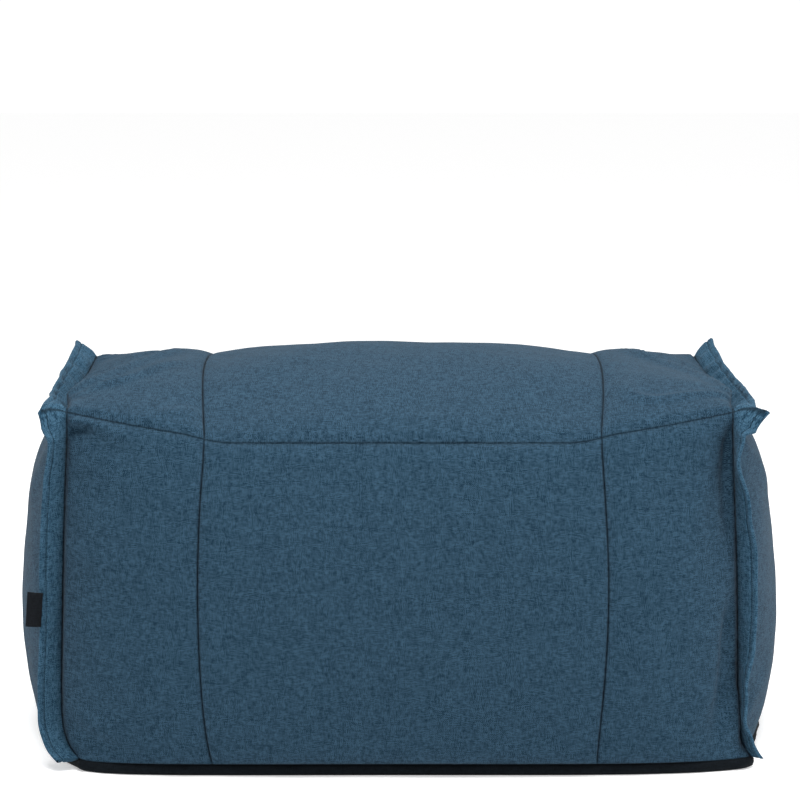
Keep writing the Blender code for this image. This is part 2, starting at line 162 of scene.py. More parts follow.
RIGHT_FLANGE = [
    (0.00, 44, 0.014, 0, 0.000),
    (0.05, 56, 0.020, 4, 0.000),
    (0.11, 76, 0.025, 8, 0.000),
    (0.20, 78, 0.025, 4, 0.000),
    (0.33, 58, 0.025, 0, 0.000),
    (0.46, 49, 0.025, -4, 0.000),
    (0.60, 50, 0.025, 0, 0.000),
    (0.72, 60, 0.025, 4, 0.000),
    (0.86, 76, 0.025, 8, 0.000),
    (0.94, 64, 0.025, 6, 0.000),
    (1.00, 34, 0.0265, 0, -0.0125),
    (1.13, 28, 0.024, 6, 0.000),
    (1.38, 44, 0.028, 10, 0.000),
    (1.62, 40, 0.026, 10, 0.000),
    (1.80, 51, 0.0245, 0, 0.000),
    (1.93, 54, 0.025, -4, 0.000),
    (2.00, 54, 0.0275, -8, 0.000),
    (2.10, 46, 0.026, -2, 0.000),
    (2.40, 46, 0.025, -5, 0.000),
    (2.70, 56, 0.025, 4, 0.000),
    (3.00, 50, 0.024, 0, 0.000),
]

# Soft folds of the cloth. Each is a line of points in its face's own metres (x from the middle and height
# above the base seam on the front, x and y on the top, depth and height on an end), then its width, its
# height (a trough is negative) and how far the cloth behind it drops
FRONT_FOLDS = [
    ([(-0.325, 0.337), (-0.312, 0.339), (-0.298, 0.337)], 0.0045, 0.0042, 0.0),
    ([(-0.328, 0.3265), (-0.314, 0.3285), (-0.300, 0.329)], 0.0045, -0.0070, 0.0),
    ([(-0.306, 0.337), (-0.2775, 0.325), (-0.249, 0.314)], 0.010, 0.0024, 0.0),
    ([(-0.302, 0.321), (-0.278, 0.312), (-0.250, 0.305)], 0.009, -0.0020, 0.0),
    ([(-0.325, 0.285), (-0.290, 0.262), (-0.235, 0.245)], 0.014, -0.0016, 0.0),
    ([(-0.328, 0.215), (-0.285, 0.200), (-0.240, 0.192)], 0.012, 0.0014, 0.0),
    ([(-0.328, 0.128), (-0.300, 0.120), (-0.270, 0.118)], 0.009, 0.0012, 0.0),
    ([(-0.322, 0.050), (-0.300, 0.036), (-0.262, 0.026)], 0.007, 0.0018, 0.0),
    ([(-0.318, 0.030), (-0.290, 0.016), (-0.262, 0.012)], 0.005, -0.0024, 0.0),
    ([(0.322, 0.330), (0.290, 0.322), (0.255, 0.312)], 0.010, 0.0020, 0.0),
    ([(0.318, 0.300), (0.308, 0.240), (0.312, 0.170)], 0.012, -0.0040, 0.0),
    ([(0.300, 0.285), (0.262, 0.258), (0.235, 0.245)], 0.014, -0.0014, 0.0),
    ([(0.324, 0.325), (0.325, 0.285), (0.325, 0.235), (0.324, 0.200)], 0.0075, -0.0075, 0.0),
    ([(0.325, 0.150), (0.322, 0.090), (0.316, 0.045), (0.310, 0.012)], 0.0070, -0.0085, 0.0),
    ([(0.336, 0.070), (0.334, 0.038), (0.331, 0.012)], 0.008, 0.0055, 0.0),
    ([(0.300, 0.060), (0.280, 0.035), (0.250, 0.020)], 0.010, 0.0020, 0.0),
]
TOP_FOLDS = [
    (
        [(-0.335, -0.150), (-0.303, -0.110), (-0.278, -0.047), (-0.252, 0.019), (-0.225, 0.090)],
        0.009, 0.0070, 0.026,
    ),
    ([(-0.314, -0.153), (-0.271, -0.124), (-0.225, -0.036)], 0.006, 0.0052, 0.0),
    ([(-0.240, -0.215), (-0.218, -0.203), (-0.193, -0.190)], 0.007, 0.0018, 0.0),
    (
        [(0.336, -0.140), (0.308, -0.065), (0.290, -0.025), (0.262, 0.018), (0.235, 0.080)],
        0.010, 0.0070, 0.026,
    ),
    (
        [(0.336, -0.150), (0.296, -0.173), (0.255, -0.190), (0.230, -0.178), (0.224, -0.130)],
        0.0060, 0.0044, 0.0,
    ),
    ([(-0.320, 0.190), (-0.280, 0.120), (-0.240, 0.060)], 0.014, 0.0026, 0.0),
    ([(0.320, 0.190), (0.285, 0.120), (0.245, 0.050)], 0.014, 0.0028, 0.0),
]
END_FOLDS = [
    ([(-0.190, 0.318), (-0.140, 0.285), (-0.090, 0.240)], 0.014, 0.0030, 0.0),
    ([(0.190, 0.318), (0.140, 0.282), (0.095, 0.235)], 0.014, 0.0030, 0.0),
    ([(-0.060, 0.315), (-0.050, 0.290), (-0.045, 0.262)], 0.009, -0.0018, 0.0),
    ([(0.045, 0.315), (0.052, 0.292), (0.055, 0.268)], 0.009, -0.0018, 0.0),
    ([(-0.190, 0.040), (-0.150, 0.062), (-0.110, 0.070)], 0.012, 0.0022, 0.0),
    ([(0.190, 0.040), (0.150, 0.064), (0.110, 0.075)], 0.012, 0.0022, 0.0),
]

# Base folds and tag
BASE_FOLDS = [                  # x, y, width, height
    (-0.322, -0.228, 0.008, 0.0016),
    (-0.300, -0.236, 0.006, -0.0012),
    (0.338, -0.222, 0.008, 0.0016),
    (0.318, -0.232, 0.006, -0.0012),
]
TAG_HEIGHT = 0.034
TAG_WIDTH = 0.014
TAG_HALF = 0.0008               # half thickness
TAG_REACH = 0.98                # how much of its width stands out sideways
TAG_MIDDLE_HEIGHT = 0.163

# Cloth
THREAD = 0.0010                 # pitch of the weave
FLECK_LENGTH = 0.0062
WARP_LIGHTNESS = 0.20           # how much lighter the warp threads are
BLUE_DARK = (0.0042, 0.0156, 0.0292)
BLUE_LIGHT = (0.0276, 0.0630, 0.0990)
# The flanges are the body's cloth painted about half as light again: painted light, lifting them out of the
# shade beside the body
FLANGE_PAINTED_LIT_DARK = (0.0062, 0.0245, 0.0450)
FLANGE_PAINTED_LIT_LIGHT = (0.0420, 0.0990, 0.1540)
BASE_DARK = (0.0020, 0.0032, 0.0044)
BASE_LIGHT = (0.0054, 0.0079, 0.0106)
TAPE_DARK = (0.0030, 0.0038, 0.0050)
TAPE_LIGHT = (0.0070, 0.0085, 0.0110)
# How far the painted shade darkens the cloth on the seam lines, the flange roots and the body's underside
SEAM_PAINTED_SHADE = 0.75
FLECK_RANGE = (0.38, 0.62)      # the part of the noise that runs from the dark colour to the light one
ROW_STEP = 7.31                 # keeps the flecks of neighbouring threads apart
WARP_START = 400.0              # and those of warp and weft
BUMP_STRENGTH = 0.35
BUMP_DISTANCE = 0.0004
SHEEN_ROUGHNESS = 0.5
SPECULAR = 0.07

# Mesh: cell size away from the seams and at them, and over what length it shrinks
ACROSS_SPACING = (0.0047, 0.0005, 0.014)
UP_SPACING = (0.0048, 0.0010, 0.016)
WELD = 4e-6

# Studio
WORLD_STRENGTH = 1.06
FRONT_STRENGTH = 0.16
SOFTBOXES = [                   # name, place, target, size, power
    ("softbox_top", (0.0, -0.9, 2.6), (0, 0, 0.2), (1.8, 1.4), 84.0),
    ("softbox_front", (0.5, -2.8, 2.3), (0, 0, 0.2), (1.4, 1.0), 10.0),
    ("softbox_left", (-2.4, -1.2, 1.0), (0, 0, 0.2), (1.4, 1.4), 9.0),
    ("softbox_right", (2.4, -0.8, 1.0), (0, 0, 0.2), (1.4, 1.4), 24.0),
]
FLOOR_COLOUR = 0.86
FLOOR_GLOW = 0.36
FLOOR_HALF_SIZE = 12.0
CAMERA_PLACE = (0, -3.2, 0.811)
CAMERA_PITCH = 8.4
CAMERA_LENS = 138.24


# --- Seam lines -------------------------------------------------------------------------------------

STRAIGHT_RISE = CORNER_HEIGHT - CORNER_RADIUS - BASE_SEAM_HEIGHT
HALF_ARC = CORNER_RADIUS * np.pi / 4
STRAIGHT_DEPTH = SEAM_HALF_DEPTH - CORNER_RADIUS
FACE_HEIGHT = TOP_SEAM_HEIGHT - BASE_SEAM_HEIGHT
TOP_HALF_DEPTH = SEAM_HALF_DEPTH + TOP_SEAM_BOW


def mix(start, end, share):
    return start + (end - start) * share


def ease(share):
    share = np.clip(share, 0.0, 1.0)
    return share * share * (3 - 2 * share)


def rounded(distance, power, softness):
    """1 in the middle, 0 at the edge (distance 1), and steep there."""
    return np.clip(1 - np.abs(distance) ** power, 0, 1) ** softness


def bell(distance, width):
    return np.exp(-((distance / width) ** 2))


def corner_lift(across):
    out = np.clip((np.abs(across) - 0.48) / 0.52, 0, 1)
    return out * ease(3.0 * out)


def half_width(height_share):
    return mix(SEAM_HALF_WIDTH_FOOT, SEAM_HALF_WIDTH_TOP, ease(height_share * 0.5) * 2)


def flange_seam(side, places):
    """Points on a flange seam and the upright outward directions there, for places from 0 to 3."""
    places = np.asarray(places, float)
    near = np.minimum(places, 3 - places)
    run_up = np.clip(near, 0, 1) * (STRAIGHT_RISE + HALF_ARC)
    run_back = np.clip(near - 1, 0, 1) * 2 * (STRAIGHT_DEPTH + HALF_ARC)
    turn = (np.maximum(0, run_up - STRAIGHT_RISE) + np.minimum(run_back, HALF_ARC)) / CORNER_RADIUS
    height = BASE_SEAM_HEIGHT + np.minimum(run_up, STRAIGHT_RISE)
    along = -STRAIGHT_DEPTH + np.maximum(0, run_back - HALF_ARC)
    back = np.where(places > 1.5, -1.0, 1.0)
    outward = np.stack([0 * turn, -np.cos(turn) * back, np.sin(turn)], -1)
    middle = 1 - np.minimum(1, np.abs(along) / STRAIGHT_DEPTH) ** 2
    rise_share = (height - BASE_SEAM_HEIGHT) / STRAIGHT_RISE
    y = back * along + CORNER_RADIUS * outward[..., 1]
    back_share = (y + SEAM_HALF_DEPTH) / (2 * SEAM_HALF_DEPTH)
    x = side * (half_width(rise_share) + TOP_END_BOW * middle + BACK_SPREAD[side] * back_share * rise_share)
    z = height + CORNER_RADIUS * outward[..., 2] - TOP_END_SAG * middle
    return np.stack([x, y, z], -1), outward


def flange_value(side, places, column):
    rows = np.array(LEFT_FLANGE if side < 0 else RIGHT_FLANGE)
    spot = np.clip(np.searchsorted(rows[:, 0], places, side="right") - 1, 0, len(rows) - 2)
    share = (places - rows[spot, 0]) / (rows[spot + 1, 0] - rows[spot, 0])
    return mix(rows[spot, column], rows[spot + 1, column], ease(share))


def seat_line(side, places, towards_face=True):
    """Edge of the narrow strip of body that the flange is sewn to."""
    point, outward = flange_seam(side, places)
    lean = np.radians(flange_value(side, places, 1))[..., None]
    normal = np.cos(lean) * outward - np.sin(lean) * np.array([side, 0, 0])
    return point + normal * FLANGE_SEAT * (1 if towards_face else -1)


def towards_panel_seams(across):
    return np.interp(across, [-1, LEFT_PANEL_SEAM, 0, RIGHT_PANEL_SEAM, 1], [0, -1, 0, 1, 0])


def foot_shift(side, places):
    """How far a flange seam is led aside near its foot."""
    rise_share = np.minimum(places, 3 - places) * (STRAIGHT_RISE + HALF_ARC) / STRAIGHT_RISE
    foot = (1 - np.clip(rise_share, 0, 1)) ** FOOT_TURN
    back = np.where(places > 1.5, -1.0, 1.0)
    return np.stack([side * FOOT_FLARE[side] * foot, -back * FOOT_FORWARD[side] * foot, 0 * foot], -1)


def near_start(across, fade):
    """1 at the start of a face's edge and gone a little way along it."""
    return ((1 - across) / 2)[:, None, None] ** fade


def shifted_feet(face, across, fade, start, end):
    """The face or edge with the shifts of the two flange seams it ends on, fading away from them."""
    return face + near_start(across, fade) * start + near_start(-across, fade) * end


def join_ends(curve, across, start, end):
    share = ((across + 1) / 2)[:, None]
    return curve + mix(start - curve[0], end - curve[-1], share)


def top_seam(front_or_back, across):
    height = mix(TOP_SEAM_HEIGHT, CORNER_HEIGHT, corner_lift(across))
    depth = SEAM_HALF_DEPTH + TOP_SEAM_BOW * (1 - np.abs(across) ** 5)
    spread = BACK_SPREAD[1] * ((1 + across) / 2) ** 6 - BACK_SPREAD[-1] * ((1 - across) / 2) ** 6
    width = SEAM_HALF_WIDTH_TOP * across + (spread if front_or_back > 0 else 0)
    curve = np.stack([width, front_or_back * depth, height], -1)
    place = np.array([1.0 if front_or_back < 0 else 2.0])
    return join_ends(curve, across, seat_line(-1, place)[0], seat_line(1, place)[0])


def base_seam(front_or_back, across):
    depth = SEAM_HALF_DEPTH + BASE_BOW_FRONT * rounded(across, 5, 0.7)
    width = SEAM_HALF_WIDTH_FOOT * across - PANEL_SEAM_PINCH * towards_panel_seams(across)
    curve = np.stack([width, front_or_back * depth, np.full_like(across, BASE_SEAM_HEIGHT)], -1)
    place = np.array([0.0 if front_or_back < 0 else 3.0])
    return join_ends(curve, across, seat_line(-1, place)[0], seat_line(1, place)[0])


def end_base_seam(side, along):
    width = SEAM_HALF_WIDTH_FOOT + BASE_BOW_END * (1 - along**2)
    curve = np.stack([side * width, SEAM_HALF_DEPTH * along, np.full_like(along, BASE_SEAM_HEIGHT)], -1)
    start, end = seat_line(side, np.array([0.0, 3.0]), False)
    return join_ends(curve, along, start, end)


# --- Faces ------------------------------------------------------------------------------------------

def stretched_between(low, high, left, right, u, v):
    """Surface that passes through four edge curves (a Coons patch); u runs along low, v along left."""
    u = u[:, None, None]
    v = v[None, :, None]
    corners = (1 - u) * ((1 - v) * low[0] + v * high[0]) + u * ((1 - v) * low[-1] + v * high[-1])
    rows = (1 - v) * low[:, None] + v * high[:, None]
    columns = (1 - u) * left[None] + u * right[None]
    return rows + columns - corners


def front_belly(rise):
    below = 1 - (1 - np.clip(rise / BELLY_HEIGHT, 0, 1)) ** 2
    above = np.clip((rise - BELLY_HEIGHT) / (1 - BELLY_HEIGHT), 0, 1)
    return np.where(rise < BELLY_HEIGHT, below**0.62, 1 - above**2.4)


def end_belly(rise):
    below = np.sin(np.pi / 2 * np.clip(rise / END_BELLY_HEIGHT, 0, 1) ** 0.7)
    above = np.clip((rise - END_BELLY_HEIGHT) / (1 - END_BELLY_HEIGHT), 0, 1)
    return np.where(rise < END_BELLY_HEIGHT, below, rounded(above, 3, 0.8))


def panel_puff(across):
    """1 in the middle of each of the three panels, 0 on the seams between them."""
    middle = rounded(2 * (across - LEFT_PANEL_SEAM) / (RIGHT_PANEL_SEAM - LEFT_PANEL_SEAM) - 1, 6, 1)
    left = rounded(2 * (across + 1) / (LEFT_PANEL_SEAM + 1) - 1, 4, 1)
    right = rounded(2 * (across - RIGHT_PANEL_SEAM) / (1 - RIGHT_PANEL_SEAM) - 1, 4, 1)
    return middle + 0.5 * (left + right)


def panel_seam_distance(across):
    """Metres to the nearer panel seam."""
    nearest = np.minimum(np.abs(across - LEFT_PANEL_SEAM), np.abs(across - RIGHT_PANEL_SEAM))
    return nearest * SEAM_HALF_WIDTH_TOP


def seam_relief(distance):
    """Height of the cloth near a seam at distance 0: a narrow sewn line in a soft valley."""
    return -SEAM_ROLL * np.exp(-distance / SEAM_ROLL_REACH) - SEAM_LINE_DEPTH * bell(distance, SEAM_LINE_HALF)


def smooth_path(points, count=36):
    """Points along a smooth line that runs by the given ones, its directions, and its shares from 0 to 1."""
    points = np.array(points, float)
    knots = np.concatenate([[0], np.cumsum(np.linalg.norm(np.diff(points, axis=0), axis=1))])
    share = np.linspace(0, 1, count)
    line = np.stack([np.interp(share * knots[-1], knots, column) for column in points.T], -1)
    for _ in range(12):
        line[1:-1] = (line[:-2] + 2 * line[1:-1] + line[2:]) / 4
    run = np.gradient(line, axis=0)
    return line, run / np.linalg.norm(run, axis=1, keepdims=True), share


def fold_relief(folds, x, y, drop_fade=1.0):
    """Sum of the soft folds at the points x, y of a face, each tapering out to its ends."""
    height = np.zeros(np.broadcast(x, y).shape)
    for points, width, rise, drop in folds:
        line, run, share = smooth_path(points)
        away_x, away_y = x[..., None] - line[:, 0], y[..., None] - line[:, 1]
        near = np.argmin(away_x**2 + away_y**2, axis=-1)
        away_x = np.take_along_axis(away_x, near[..., None], -1)[..., 0]
        away_y = np.take_along_axis(away_y, near[..., None], -1)[..., 0]
        off = away_y * run[near, 0] - away_x * run[near, 1]
        beyond = away_x * run[near, 0] + away_y * run[near, 1]
        taper = ease((share[near] + 0.10) / 0.22) * ease((1.08 - share[near]) / 0.45)
        spread = width * (0.8 + 0.5 * share[near])
        height += rise * taper * bell(off, spread) * bell(beyond, 2 * width)
        behind = -off * np.sign(points[0][0])
        step = ease(behind / (1.6 * width)) * np.exp(-np.clip(behind, 0, None) / FOLD_DROP_REACH)
        height -= drop * taper * step * bell(beyond, 4 * width) * drop_fade
    return height


def gathers(run, distance, seed):
    """Small puckers across a seam: uneven along it, and gone a few centimetres away."""
    sway = 0.006 * np.sin(run * 23 + seed) + 0.004 * np.sin(run * 61 + 2 * seed)
    ripple = np.sin((run + sway) * 2 * np.pi / GATHER_PITCH + seed)
    strength = 0.55 + 0.45 * np.sin(run * 37 + 3 * seed) * np.sin(run * 17 + seed)
    fade = np.exp(-distance / GATHER_REACH) * (1 - np.exp(-distance / 0.0025))
    return GATHER_HEIGHT * ripple * strength * fade


def lumps(x, y, seed):
    """The slight unevenness of a bead filling under cloth."""
    wide = np.sin(x * 21 + seed) * np.sin(y * 27 + 2 * seed) + 0.7 * np.sin(x * 43 - y * 31 + seed)
    small = 0.35 * np.sin(x * 83 + y * 37 + 2 * seed) * np.sin(y * 91 - x * 29)
    return LUMP_HEIGHT * (wide + small)


def surface_normals(points):
    """Unit normals of a grid of points."""
    n = np.cross(np.gradient(points, axis=0), np.gradient(points, axis=1))
    return n / np.maximum(np.linalg.norm(n, axis=-1, keepdims=True), 1e-12)


def add_relief(face, height, outward):
    """The face with each point raised along its normal, and left alone on its four edges."""
    normals = surface_normals(face)
    facing = np.sign(np.sum(normals.reshape(-1, 3).mean(0) * outward))
    height = height.copy()
    height[[0, -1]] = 0
    height[:, [0, -1]] = 0
    return face + normals * facing * height[..., None]


def front_face(front_or_back, across, rise):
    places = rise if front_or_back < 0 else 3 - rise
    face = stretched_between(
        base_seam(front_or_back, across), top_seam(front_or_back, across),
        seat_line(-1, places), seat_line(1, places), (across + 1) / 2, rise,
    )
    face = shifted_feet(face, across, SHIFT_FADE_FRONT, foot_shift(-1, places), foot_shift(1, places))
    u = across[:, None]
    v = rise[None]
    inside = np.clip(20 * v * (1 - v), 0, 1)
    push = FRONT_BULGE * rounded(u, 7, 0.7) * front_belly(v) + 0.5 * PANEL_PUFF * inside * panel_puff(u)
    face[..., 1] += front_or_back * push
    face[..., 0] += PANEL_SEAM_BOW * np.sin(np.pi * v) * towards_panel_seams(u)
    x, z = face[..., 0], face[..., 2] - BASE_SEAM_HEIGHT
    to_flange = (1 - np.abs(u)) * SEAM_HALF_WIDTH_TOP + 0 * v
    to_base = v * FACE_HEIGHT + 0 * u
    to_top = (1 - v) * FACE_HEIGHT + 0 * u
    relief = seam_relief(panel_seam_distance(u)) + SEAM_ROLL + 0 * v
    relief += -SEAM_ROLL * (np.exp(-to_top / SEAM_ROLL_REACH) + np.exp(-to_base / SEAM_ROLL_REACH))
    relief += fold_relief(FRONT_FOLDS, x * -front_or_back, z) + lumps(x, z, 1.0 + front_or_back)
    relief += gathers(z, to_flange, 0.7) + 0.5 * gathers(x, to_base, 2.1) + 0.35 * gathers(x, to_top, 4.0)
    relief *= ease(np.minimum(np.minimum(to_base, to_top), to_flange) / EDGE_FADE)
    uv = np.stack([x, z], -1)
    shade = seam_shade(panel_seam_distance(u), to_top, to_base)
    return add_relief(face, relief, (0, front_or_back, 0)), uv, shade


def seam_shade(*distances):
    """Painted shade along the seam lines, standing in for the shadow in their narrow grooves: 1 on a line, 0
    clear of it.
    """
    return np.clip(sum(bell(d, SEAM_LINE_HALF) for d in distances), 0, 1)


def top_face(across, along):
    places = 1 + (along + 1) / 2
    face = stretched_between(
        top_seam(-1, across), top_seam(1, across),
        seat_line(-1, places), seat_line(1, places), (across + 1) / 2, (along + 1) / 2,
    )
    u = across[:, None]
    v = along[None]
    inside = np.clip(10 * (1 - np.abs(v)), 0, 1)
    tightness = np.interp(v, *TOP_TIGHTNESS)
    face[..., 2] += CROWN * rounded(u, 3, tightness) * rounded(v, 2, 1) + PANEL_PUFF * inside * panel_puff(u)
    face[..., 0] += TOP_SEAM_LEAN * (1 - v**2) * towards_panel_seams(u)
    x, y = face[..., 0], face[..., 1]
    to_flange = (1 - np.abs(u)) * SEAM_HALF_WIDTH_TOP + 0 * v
    to_front = (1 + v) * TOP_HALF_DEPTH + 0 * u
    to_back = (1 - v) * TOP_HALF_DEPTH + 0 * u
    relief = seam_relief(panel_seam_distance(u)) + SEAM_ROLL + 0 * v
    relief += -SEAM_ROLL * (np.exp(-to_front / SEAM_ROLL_REACH) + np.exp(-to_back / SEAM_ROLL_REACH))
    relief += fold_relief(TOP_FOLDS, x, y, ease(to_flange / 0.03) * ease(to_back / 0.09)) + lumps(x, y, 5.0)
    relief += gathers(y, to_flange, 1.3)
    relief += 0.35 * (gathers(x, to_front, 3.1) + gathers(x, to_back, 0.4))
    relief *= ease(np.minimum(np.minimum(to_front, to_back), to_flange) / EDGE_FADE)
    uv = np.stack([x, y + 1.0], -1)
    shade = seam_shade(panel_seam_distance(u), to_front, to_back)
    return add_relief(face, relief, (0, 0, 1)), uv, shade


def end_face(side, along, rise):
    face = stretched_between(
        end_base_seam(side, along), seat_line(side, 1 + (along + 1) / 2, False),
        seat_line(side, rise, False), seat_line(side, 3 - rise, False), (along + 1) / 2, rise,
    )
    face = shifted_feet(face, along, SHIFT_FADE_END, foot_shift(side, rise), foot_shift(side, 3 - rise))
    v = rise[None]
    u = along[:, None]
    face[..., 0] += side * END_BULGE * rounded(u, 2.6, 0.7) * end_belly(v)
    y, z = face[..., 1], face[..., 2] - BASE_SEAM_HEIGHT
    to_sides = (1 - np.abs(u)) * SEAM_HALF_DEPTH + 0 * v
    to_top = (1 - v) * FACE_HEIGHT + 0 * u
    to_base = v * FACE_HEIGHT + 0 * u
    relief = fold_relief(END_FOLDS, y * side, z) + lumps(y, z, 8.0 + side)
    relief += gathers(z, to_sides, 2.3 + side) + gathers(y, to_top, 3.7 + side)
    relief += 0.5 * gathers(y, to_base, 1.9)
    relief *= ease(np.minimum(np.minimum(to_top, to_base), to_sides) / EDGE_FADE)
    uv = np.stack([y + 3.0, z], -1)
    return add_relief(face, relief, (side, 0, 0)), uv, seam_shade(to_base)


# --- Meshes -----------------------------------------------------------------------------------------

class ClothMesh:
    """Grids of quads gathered into one mesh, with a weave map in metres and the painted shade at the seams.
    """

    def __init__(self):
        self.points, self.faces, self.maps, self.shades = [], [], [], []
        self.count = 0

    def add(self, points, uv, shade, outward):
        """A grid of points, turned to face outward: one direction, or one for each point."""
        rows, columns = points.shape[:2]
        index = self.count + np.arange(rows * columns).reshape(rows, columns)
        quads = np.stack([index[:-1, :-1], index[1:, :-1], index[1:, 1:], index[:-1, 1:]], -1).reshape(-1, 4)
        facing = np.sum(surface_normals(points) * outward)
        self.faces.append(quads if facing > 0 else quads[:, ::-1])
        self.points.append(points.reshape(-1, 3))
        self.maps.append(np.broadcast_to(uv, (rows, columns, 2)).reshape(-1, 2))
        self.shades.append(np.broadcast_to(shade, (rows, columns)).reshape(-1))
        self.count += rows * columns

    def build(self, name, material):
        faces = np.concatenate(self.faces)
        mesh = bpy.data.meshes.new(name)
        mesh.from_pydata(np.concatenate(self.points).tolist(), [], faces.tolist())
        layer = mesh.uv_layers.new(name="Weave")
        corner_maps = np.concatenate(self.maps)[faces.reshape(-1)]
        layer.data.foreach_set("uv", corner_maps.astype(np.float32).reshape(-1))
        # The painted shade of the seams and hidden strips goes into the point attribute named seam
        shade = mesh.attributes.new("seam", "FLOAT", "POINT")
        shade.data.foreach_set("value", np.concatenate(self.shades).astype(np.float32))
        bm = bmesh.new()
        bm.from_mesh(mesh)
        bmesh.ops.remove_doubles(bm, verts=bm.verts, dist=WELD)
        bm.to_mesh(mesh)
        bm.free()
        mesh.shade_smooth()
        mesh.materials.append(material)
        obj = bpy.data.objects.new(name, mesh)
        bpy.context.scene.collection.objects.link(obj)
        return obj


def closer_near(stops, length, coarse, fine, reach):
    """Shares from the first to the last stop, with a spacing that shrinks near each stop."""
    lines = [stops[0]]
    while lines[-1] < stops[-1]:
        here = lines[-1]
        near = min(abs(here - stop) for stop in stops) * length
        ahead = min((stop - here) * length for stop in stops if stop > here + 1e-9)
        step = mix(fine, coarse, min(1.0, min(near, ahead) / reach))
        lines.append(here + min(max(step, fine), ahead) / length)
        if abs(lines[-1] * length - stops[-1] * length) < 1e-7:
            break
    return np.array(lines)


def face_lines():
    """Grid lines across the width, up the front and from front to back, closer near every seam."""
    stops = [-1, LEFT_PANEL_SEAM, RIGHT_PANEL_SEAM, 1]
    across = closer_near(stops, SEAM_HALF_WIDTH_TOP, *ACROSS_SPACING)
    corner = HALF_ARC / (STRAIGHT_RISE + HALF_ARC)
    rise = closer_near([0, 1 - corner, 1], STRAIGHT_RISE + HALF_ARC, *UP_SPACING)
    corner = HALF_ARC / (STRAIGHT_DEPTH + HALF_ARC)
    along = closer_near([-1, corner - 1, 1 - corner, 1], STRAIGHT_DEPTH + HALF_ARC, *UP_SPACING)
    return across, rise, along


def base_outline(across, along):
    """The base seam all the way round, as x and y, closed."""
    sides = []
    for curve, share, fade, start, end in (
        (base_seam(-1, across), across, SHIFT_FADE_FRONT, (-1, 0.0), (1, 0.0)),
        (end_base_seam(1, along), along, SHIFT_FADE_END, (1, 0.0), (1, 3.0)),
        (base_seam(1, across), across, SHIFT_FADE_FRONT, (-1, 3.0), (1, 3.0)),
        (end_base_seam(-1, along), along, SHIFT_FADE_END, (-1, 0.0), (-1, 3.0)),
    ):
        edge = shifted_feet(curve[:, None], share, fade, foot_shift(*start), foot_shift(*end))
        sides.append(edge[:, 0, :2])
    front, right, back, left = sides
    outline = np.concatenate([front, right, back[::-1], left[::-1]])
    return np.vstack([outline, outline[:1]])


def drawn_in(outline, inset, height):
    """The outline at a height, drawn in towards the middle by an inset."""
    half_size = np.array([SEAM_HALF_WIDTH_FOOT + BASE_BOW_END, SEAM_HALF_DEPTH + BASE_BOW_FRONT])
    return np.column_stack([outline * (1 - inset / half_size), np.full(len(outline), height)])


def refine(lines):
    """The same grid lines with one more half way between each two."""
    middles = (lines[:-1] + lines[1:]) / 2
    return np.sort(np.concatenate([lines, middles]))


def flange_places(rise, along):
    return np.concatenate([rise, 1 + (along[1:-1] + 1) / 2, 3 - rise[::-1]])


def build_body(material):
    across, rise, along = face_lines()
    cloth = ClothMesh()
    for front_or_back in (-1, 1):
        cloth.add(*front_face(front_or_back, across, rise), (0, front_or_back, 0))
    cloth.add(*top_face(across, along), (0, 0, 1))
    places = flange_places(rise, along)
    for side in (-1, 1):
        cloth.add(*end_face(side, along, rise), (side, 0, 0))
        seat = np.stack([seat_line(side, places), seat_line(side, places, False)]) + foot_shift(side, places)
        seat_map = np.stack([np.broadcast_to(flange_run(places), (2, len(places))), seat[..., 0]], -1)
        # The seat strips under the flange roots are painted darker (0.8), as painted shade between the parts
        cloth.add(seat, seat_map, 0.8, flange_direction(side, places, 0.0))
    outline = base_outline(across, along)
    rings = [drawn_in(outline, inset, height) for inset, height in UNDERSIDE_RINGS]
    rings.append(rings[-1] * (0, 0, 1))
    # The body's underside is painted fully dark, as painted shade under the body
    cloth.add(np.array(rings), np.zeros(2), 1.0, (0, 0, -1))
    return cloth.build("body_cloth", material)


# --- Flange -----------------------------------------------------------------------------------------

def flange_direction(side, places, share):
    """Unit vectors that point out along the flange, at a share of its width."""
    _, outward = flange_seam(side, places)
    angle = np.radians(flange_value(side, places, 1) + flange_value(side, places, 3) * share)
    return np.cos(angle)[..., None] * np.array([side, 0, 0]) + np.sin(angle)[..., None] * outward


def flange_run(places):
    """Metres from the front foot along the flange seam."""
    near = np.clip(places, 0, 1) + np.clip(places - 2, 0, 1)
    return near * (STRAIGHT_RISE + HALF_ARC) + np.clip(places - 1, 0, 1) * 2 * (STRAIGHT_DEPTH + HALF_ARC)


def flange_waves(side, places, shares):
    """Sideways waves of the flange: slack pleats over the top, and slight ones down its upright parts."""
    run = flange_run(places)[:, None]
    share = shares[None]
    over_top = ease((places - 1.03) / 0.10) * ease((2.0 - places) / 0.15)
    ripple = np.sin(2 * np.pi * (run + 0.010 * share) / PLEAT_PITCH[side] + side)
    slack = FLANGE_PLEAT * over_top[:, None] * ripple
    sway = 0.0012 * np.sin(run * 39 + 2.0 * side) + 0.0008 * np.sin(run * 87 + 1.0 - side)
    small = 0.0005 * np.sin(run * 330 + 5 * share) * np.sin(run * 71 + side)
    return slack * np.sin(np.pi * share) ** 0.8 + sway * share**1.3 + small * np.sin(np.pi * share) ** 2


def flange_middle(side, places, shares):
    """Middle surface of a flange: one row of points for each place, from its root (0) to its edge (1)."""
    point, outward = flange_seam(side, places)
    point = point + foot_shift(side, places)
    width = flange_value(side, places, 2)
    from_axis = np.maximum(np.abs(outward[:, 1]), np.abs(outward[:, 2]))
    pointed = np.where(places < 1.5, *EAR_POINT_SHARE[side])
    width = mix(width, (CORNER_RADIUS + width) / from_axis - CORNER_RADIUS, pointed)
    rows = [
        point + flange_direction(side, places, share) * mix(0.0, width, share)[:, None]
        for share in shares
    ]
    surface = np.stack(rows, 1)
    surface[..., 2] += flange_value(side, places, 4)[:, None] * shares[None] ** 2
    return surface


